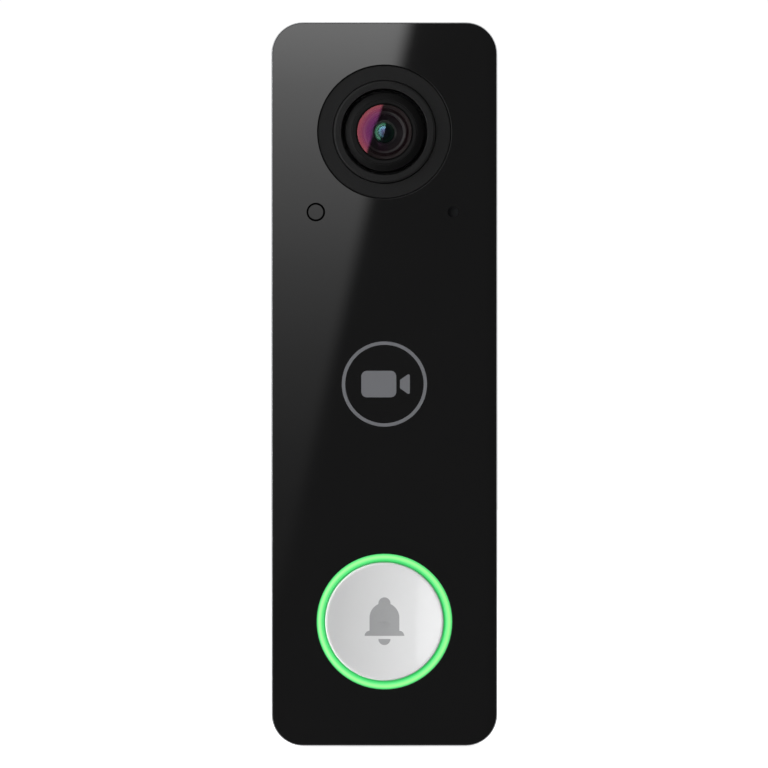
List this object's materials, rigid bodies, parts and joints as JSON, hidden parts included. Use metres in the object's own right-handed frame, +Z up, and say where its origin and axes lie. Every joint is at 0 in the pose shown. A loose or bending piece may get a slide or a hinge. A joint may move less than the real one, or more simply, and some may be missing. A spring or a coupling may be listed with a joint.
{
  "type": "video doorbell",
  "caption": "Slim wall-mounted video doorbell: black front panel with a round camera above a lit bell button, silver housing, wall bracket, tilt-off unit.",
  "frame": {"origin": "on the wall plane, midway between the two wall-screw holes of the bracket", "axes": "+X to the right as a visitor sees it, +Z up, +Y into the wall, so the front faces -Y"},
  "size_m": [0.0402, 0.0255, 0.1282],
  "materials": {
    "bracket_nylon": "fine moulded texture, glass-filled nylon",
    "housing_paint": "satin nickel paint on polycarbonate",
    "black_gloss": "polished black acrylic",
    "grey_print": "printed grey ink",
    "black_satin": "satin black plastic",
    "ir_plastic": "infrared-passing dark polycarbonate, satin",
    "anodised_black": "fine turned, black anodised",
    "lens_glass": "ground and coated",
    "filter_glass": "polished filter plates",
    "button_white": "satin light grey polycarbonate",
    "light_guide": "frosted light guide, lit green",
    "adhesive": "foam bonding tape",
    "silicone": "matt silicone",
    "steel_screw": "nickel-plated steel",
    "steel_black": "black zinc-plated steel",
    "brass": "turned brass",
    "tin_plate": "tinned steel sheet",
    "circuit_board": "solder resist over glass-epoxy laminate",
    "flex_film": "polyimide film",
    "chip_black": "moulded epoxy",
    "sensor_die": "cover glass over silicon",
    "led_body": "white ceramic package",
    "heat_sink_metal": "die-cast aluminium",
    "foil_cell": "laminated foil pouch",
    "capacitor_can": "sleeved aluminium can",
    "coil_copper": "enamelled copper winding",
    "acetal_white": "unfilled acetal",
    "speaker_black": "black speaker frame and cone",
    "mesh_cloth": "woven acoustic mesh"
  },
  "bodies": {
    "bracket": {"mounting_plate": "bracket_nylon"},
    "unit": {"back_cover": "black_satin", "backup_battery": "foil_cell", "board_screws": "steel_screw", "button_board": "circuit_board", "button_carrier": "black_satin", "button_flex": "flex_film", "button_seal": "silicone", "camera_bezel": "anodised_black", "camera_flex": "flex_film", "contact_pins": "brass", "cover_gasket": "silicone", "cover_screws": "steel_black", "front_panel": "black_gloss", "front_pictogram": "grey_print", "heat_sink": "heat_sink_metal", "hinge_bar": "steel_screw", "housing": "housing_paint", "image_sensor": "sensor_die", "ir_cut_coil": "coil_copper", "ir_led_board": "circuit_board", "ir_leds": "led_body", "ir_window": "ir_plastic", "lens_barrel": "anodised_black", "lens_front": "lens_glass", "lens_holder": "black_satin", "lens_middle": "lens_glass", "lens_rear": "lens_glass", "lens_retaining_ring": "anodised_black", "lens_spacer": "anodised_black", "light_ring": "light_guide", "light_sensor": "chip_black", "light_sensor_window": "black_gloss", "main_board": "circuit_board", "microphone": "tin_plate", "microphone_boot": "silicone", "microphone_mesh": "mesh_cloth", "panel_adhesive": "adhesive", "power_capacitors": "capacitor_can", "processor_shield": "tin_plate", "radio_module": "tin_plate", "sensor_board": "circuit_board", "speaker": "speaker_black", "speaker_gasket": "silicone", "status_leds": "led_body", "switch_body": "chip_black", "terminal_plates": "tin_plate", "threaded_insert": "brass"},
    "button": {"button_cap": "button_white", "bell_pictogram": "grey_print"},
    "plunger": {"switch_plunger": "acetal_white"},
    "filter_carriage": {"ir_filter_carriage": "acetal_white", "filter_glasses": "filter_glass"},
    "filter_lever": {"ir_filter_lever": "acetal_white"},
    "lock_washer": {"security_washer": "steel_black"},
    "lock_screw": {"security_screw": "steel_black"},
    "left_washer": {"terminal_washer_left": "tin_plate"},
    "left_screw": {"terminal_screw_left": "steel_screw"},
    "right_washer": {"terminal_washer_right": "tin_plate"},
    "right_screw": {"terminal_screw_right": "steel_screw"}
  },
  "joints": [
    {"name": "unit_tilt", "type": "hinge", "parent": "bracket", "child": "unit", "pos_m": [0, -0.0036, 0.0582], "axis": [-1, 0, 0], "range_deg": [0, 20]},
    {"name": "button_press", "type": "slide", "parent": "unit", "child": "button", "axis": [0, 1, 0], "range_m": [0, 0.00055], "stiffness_N_per_m": 2400, "springref_m": -0.0005},
    {"name": "switch_press", "type": "slide", "parent": "unit", "child": "plunger", "axis": [0, 1, 0], "range_m": [0, 0.00055]},
    {"name": "filter_lever_swing", "type": "hinge", "parent": "unit", "child": "filter_lever", "pos_m": [0, -0.0111, 0.05356], "axis": [0, 1, 0], "range_deg": [0, 65.37]},
    {"name": "filter_shift", "type": "slide", "parent": "unit", "child": "filter_carriage", "axis": [-1, 0, 0], "range_m": [0, 0.0054]},
    {"name": "lock_advance", "type": "slide", "parent": "unit", "child": "lock_washer", "axis": [0, 0, 1], "range_m": [0, 0.00135]},
    {"name": "lock_turn", "type": "hinge", "parent": "lock_washer", "child": "lock_screw", "pos_m": [0, -0.0033, -0.06407], "axis": [0, 0, 1], "range_deg": [0, 972]},
    {"name": "left_terminal_loosen", "type": "slide", "parent": "unit", "child": "left_washer", "axis": [0, 1, 0], "range_m": [0, 0.0008]},
    {"name": "left_terminal_turn", "type": "hinge", "parent": "left_washer", "child": "left_screw", "pos_m": [-0.007, -0.0033, -0.04206], "axis": [0, 1, 0], "range_deg": [0, 480]},
    {"name": "right_terminal_loosen", "type": "slide", "parent": "unit", "child": "right_washer", "axis": [0, 1, 0], "range_m": [0, 0.0008]},
    {"name": "right_terminal_turn", "type": "hinge", "parent": "right_washer", "child": "right_screw", "pos_m": [0.007, -0.0033, -0.04206], "axis": [0, 1, 0], "range_deg": [0, 480]}
  ],
  "couplings": [
    {"joint": "switch_press", "follows": "button_press", "ratio": 1},
    {"joint": "filter_lever_swing", "follows": "filter_shift", "rad_per_m": 211.27},
    {"joint": "lock_turn", "follows": "lock_advance", "rad_per_m": 12566},
    {"joint": "left_terminal_turn", "follows": "left_terminal_loosen", "rad_per_m": 10472},
    {"joint": "right_terminal_turn", "follows": "right_terminal_loosen", "rad_per_m": 10472}
  ]
}
